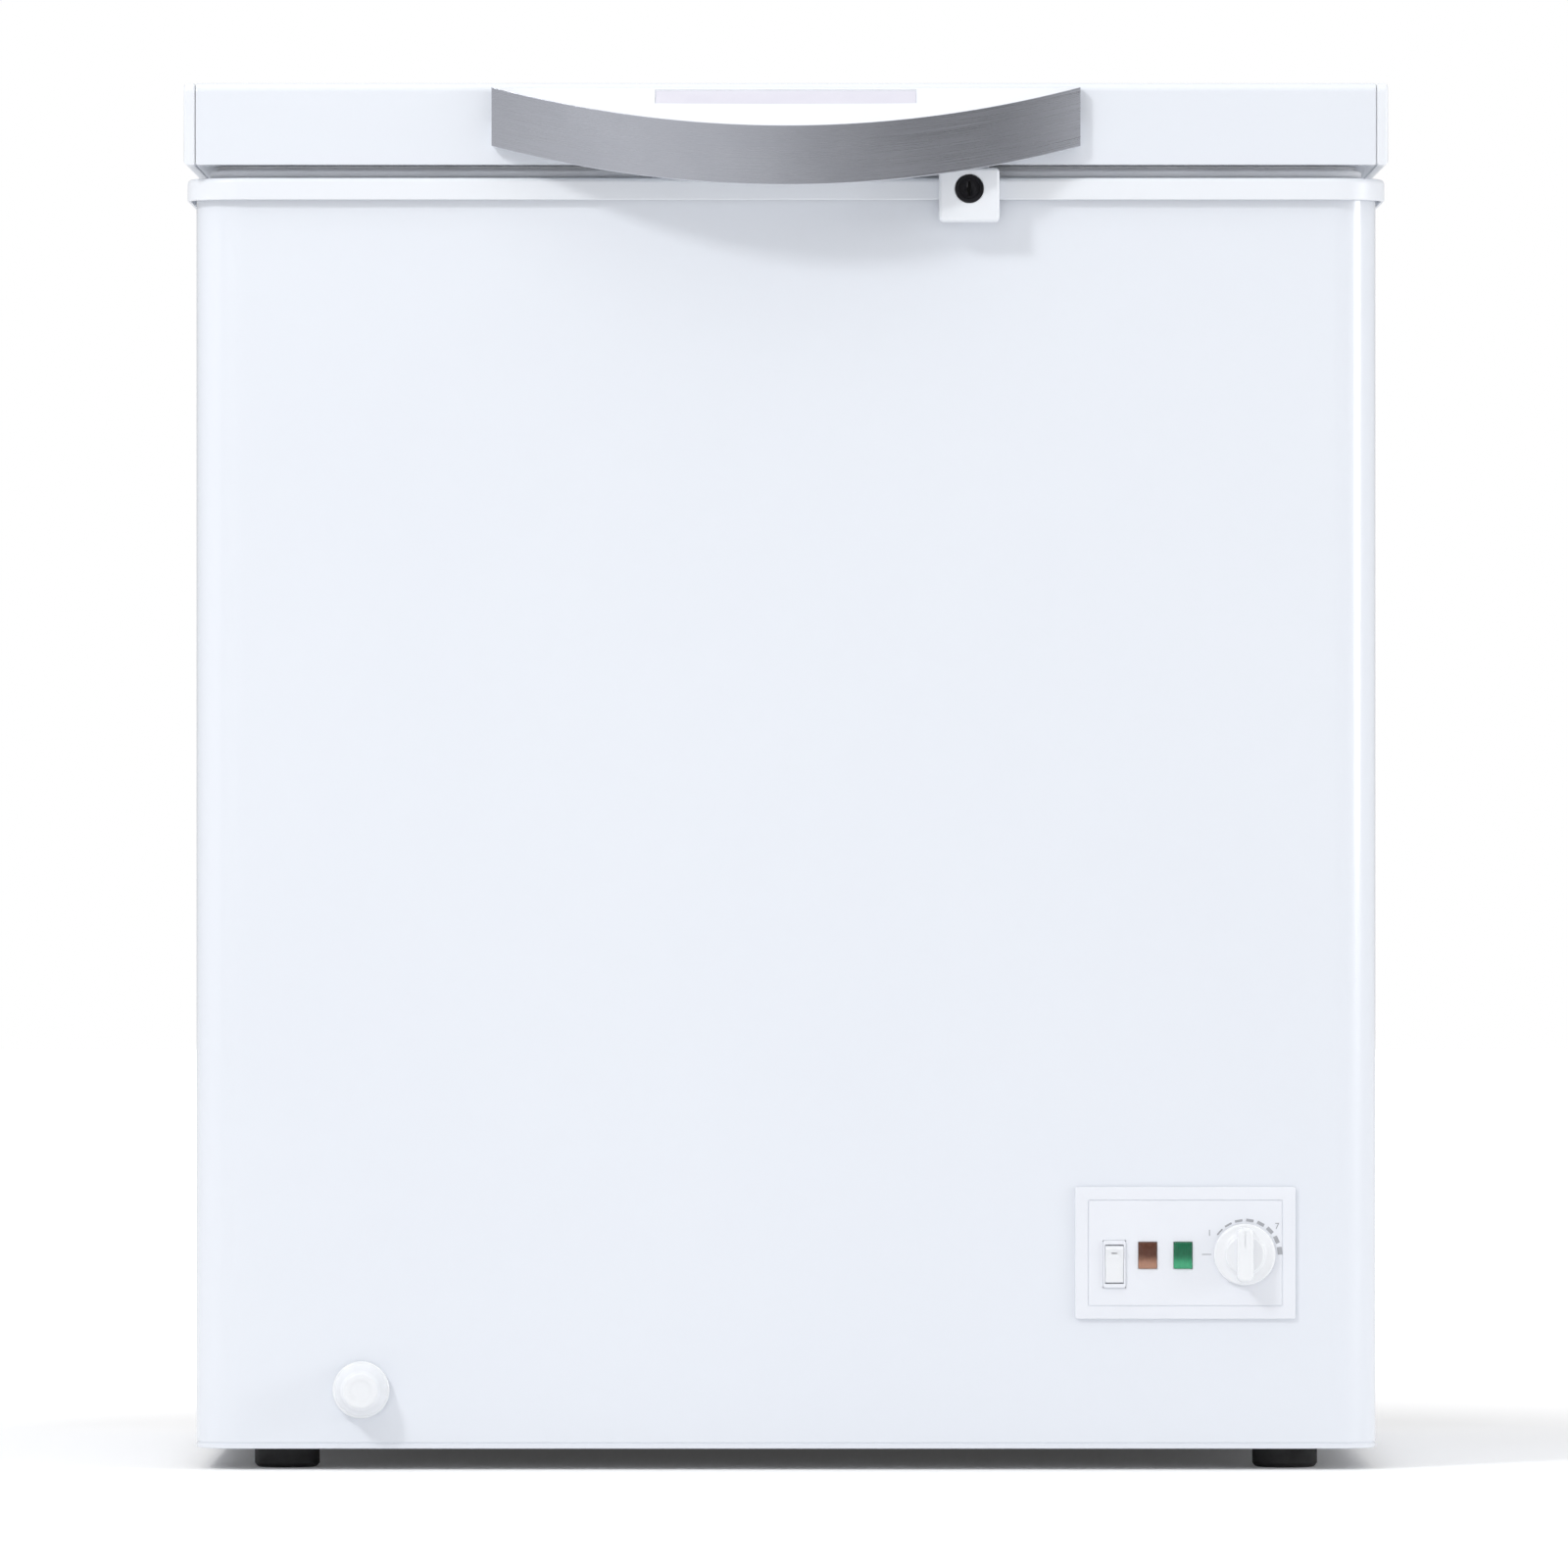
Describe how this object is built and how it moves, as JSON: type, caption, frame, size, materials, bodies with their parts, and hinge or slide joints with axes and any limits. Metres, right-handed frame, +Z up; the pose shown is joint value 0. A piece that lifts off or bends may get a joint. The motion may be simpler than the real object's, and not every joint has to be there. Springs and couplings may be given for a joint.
{
  "type": "chest freezer",
  "caption": "White chest freezer with a top-hinged insulated lid, a silver bow handle, a key lock, a lower control panel and a front drain.",
  "frame": {"origin": "on the floor, under the middle of the whole outline", "axes": "+X to the right seen from the front, +Y to the back, +Z up"},
  "size_m": [0.737, 0.622, 0.849],
  "materials": {
    "white_steel": "gloss",
    "white_plastic": "satin",
    "zinc_steel": "satin",
    "liner_metal": "satin",
    "silver_band": "satin",
    "foam": "matte",
    "gasket_rubber": "matte",
    "black_rubber": "matte",
    "black_steel": "satin",
    "dark_plastic": "matte",
    "copper": "satin",
    "orange_lens": "gloss",
    "green_lens": "gloss",
    "coated_wire": "satin"
  },
  "bodies": {
    "cabinet": {"cabinet_shell": "white_steel", "top_trim_frame": "white_plastic", "control_panel": "white_plastic", "lock_housing": "white_plastic", "switch_housing": "white_plastic", "side_grille": "white_plastic", "drain_elbow": "white_plastic", "panel_rear_box": "white_plastic", "back_panel": "zinc_steel", "base_plate": "zinc_steel", "bay_bulkhead": "zinc_steel", "compressor_rail": "zinc_steel", "hinge_base_left": "zinc_steel", "hinge_base_right": "zinc_steel", "hinge_pin_left": "zinc_steel", "hinge_pin_right": "zinc_steel", "hinge_spring_left": "zinc_steel", "hinge_spring_right": "zinc_steel", "inner_liner": "liner_metal", "cabinet_foam": "foam", "foot_front_left": "black_rubber", "foot_front_right": "black_rubber", "foot_back_left": "black_rubber", "foot_back_right": "black_rubber", "rubber_mount_1": "black_rubber", "rubber_mount_2": "black_rubber", "rubber_mount_3": "black_rubber", "rubber_mount_4": "black_rubber", "compressor": "black_steel", "cord_gland": "dark_plastic", "relay_cover": "dark_plastic", "thermostat_body": "dark_plastic", "evaporator_tube": "copper", "condenser_tube": "copper", "discharge_tube": "copper", "suction_tube": "copper", "filter_drier": "copper", "orange_lamp": "orange_lens", "green_lamp": "green_lens"},
    "lid": {"lid_skin": "white_steel", "lid_end_left": "white_plastic", "lid_end_right": "white_plastic", "lid_foam": "foam", "lid_liner": "white_plastic", "lid_gasket": "gasket_rubber", "handle_body": "white_plastic", "handle_band": "silver_band", "lock_strike": "zinc_steel", "hinge_leaf_left": "zinc_steel", "hinge_leaf_right": "zinc_steel"},
    "knob": {"thermostat_knob": "white_plastic"},
    "rocker": {"rocker_switch": "white_plastic"},
    "lock": {"lock_cylinder": "black_steel"},
    "spout": {"drain_spout": "white_plastic"},
    "cap": {"drain_cap": "white_plastic"},
    "plug": {"drain_plug": "white_plastic"},
    "basket": {"storage_basket": "coated_wire"}
  },
  "joints": [
    {"name": "lid_hinge", "type": "hinge", "parent": "cabinet", "child": "lid", "pos_m": [0, 0.303, 0.797], "axis": [-1, 0, 0], "range_deg": [0, 80]},
    {"name": "knob_turn", "type": "hinge", "parent": "cabinet", "child": "knob", "pos_m": [0.2808, -0.2595, 0.1321], "axis": [0, 1, 0], "range_deg": [-90, 100]},
    {"name": "rocker_press", "type": "hinge", "parent": "cabinet", "child": "rocker", "pos_m": [0.201, -0.2595, 0.1261], "axis": [-1, 0, 0], "range_deg": [0, 16]},
    {"name": "lock_turn", "type": "hinge", "parent": "cabinet", "child": "lock", "pos_m": [0.112, -0.265, 0.7836], "axis": [0, 1, 0], "range_deg": [0, 90]},
    {"name": "spout_pull", "type": "slide", "parent": "cabinet", "child": "spout", "axis": [0, -1, 0], "range_m": [0, 0.025]},
    {"name": "cap_turn", "type": "hinge", "parent": "spout", "child": "cap", "pos_m": [-0.26, -0.2595, 0.0492], "axis": [0, -1, 0], "range_deg": [0, 180]},
    {"name": "plug_lift", "type": "slide", "parent": "cabinet", "child": "plug", "axis": [0, 0, 1], "range_m": [0, 0.03]},
    {"name": "basket_slide", "type": "slide", "parent": "cabinet", "child": "basket", "axis": [1, 0, 0], "range_m": [0, 0.38]}
  ]
}
